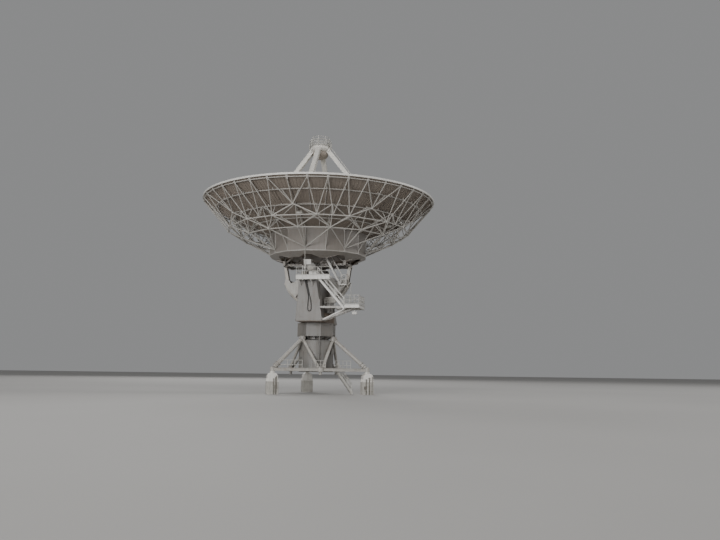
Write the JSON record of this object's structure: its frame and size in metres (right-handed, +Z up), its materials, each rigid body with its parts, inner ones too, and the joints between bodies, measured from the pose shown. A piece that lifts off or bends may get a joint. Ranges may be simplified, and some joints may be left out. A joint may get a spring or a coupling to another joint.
{
  "type": "radio telescope dish",
  "caption": "Steerable radio telescope: a large reflector dish with a lattice back on a yoke mount, standing on a three-legged base with piers.",
  "frame": {"origin": "ground level on the vertical turning axis", "axes": "+Z up; +X to the right and +Y away as seen by the camera of the picture; the front edge of the base frame is turned 9.8 degrees from X towards +Y"},
  "size_m": [24.9534, 24.9534, 27.85],
  "materials": {
    "paint": "weathered satin paint",
    "lattice": "weathered satin paint",
    "white": "white satin paint",
    "panel": "white painted aluminium",
    "galvanised": "dull grey",
    "concrete": "bare concrete",
    "cable": "dull black"
  },
  "bodies": {
    "stand": {"pier_left": "concrete", "foot_left": "paint", "support_leg_left": "paint", "pier_right": "concrete", "foot_right": "paint", "support_leg_right": "paint", "pier_rear": "concrete", "foot_rear": "paint", "support_leg_rear": "paint", "base_frame": "paint", "pedestal_room": "paint", "turning_bearing": "paint", "base_deck": "galvanised", "ground_stair": "galvanised"},
    "yoke": {"yoke_base": "paint", "yoke_arm_near": "paint", "yoke_arm_far": "paint", "tilt_bearing_near": "paint", "tilt_bearing_far": "paint", "upper_platform_near": "white", "upper_platform_far": "white", "drive_platform": "galvanised", "yoke_stair": "galvanised", "drive_unit": "galvanised", "cable_loop": "cable"},
    "dish": {"tilt_shaft": "galvanised", "gear_sector": "galvanised", "access_ladder": "galvanised", "apex_railing": "galvanised", "hub_frame": "paint", "counterweight_left": "paint", "counterweight_right": "paint", "hub_drum": "paint", "hub_skirt": "paint", "apex_barrel": "paint", "lattice_front": "lattice", "feed_leg_front": "lattice", "lattice_right": "lattice", "feed_leg_right": "lattice", "lattice_rear": "lattice", "feed_leg_rear": "lattice", "lattice_left": "lattice", "feed_leg_left": "lattice", "panels_inner": "panel", "panels_middle": "panel", "panels_outer": "panel", "feed_room": "panel", "subreflector": "panel"}
  },
  "joints": [
    {"name": "turning", "type": "hinge", "parent": "stand", "child": "yoke", "pos_m": [0, 0, 7.4], "axis": [0, 0, 1], "range_deg": [-270, 270]},
    {"name": "tilting", "type": "hinge", "parent": "yoke", "child": "dish", "pos_m": [0, 0, 12.9], "axis": [0.2504, 0.9681, 0], "range_deg": [-82, 25]}
  ]
}
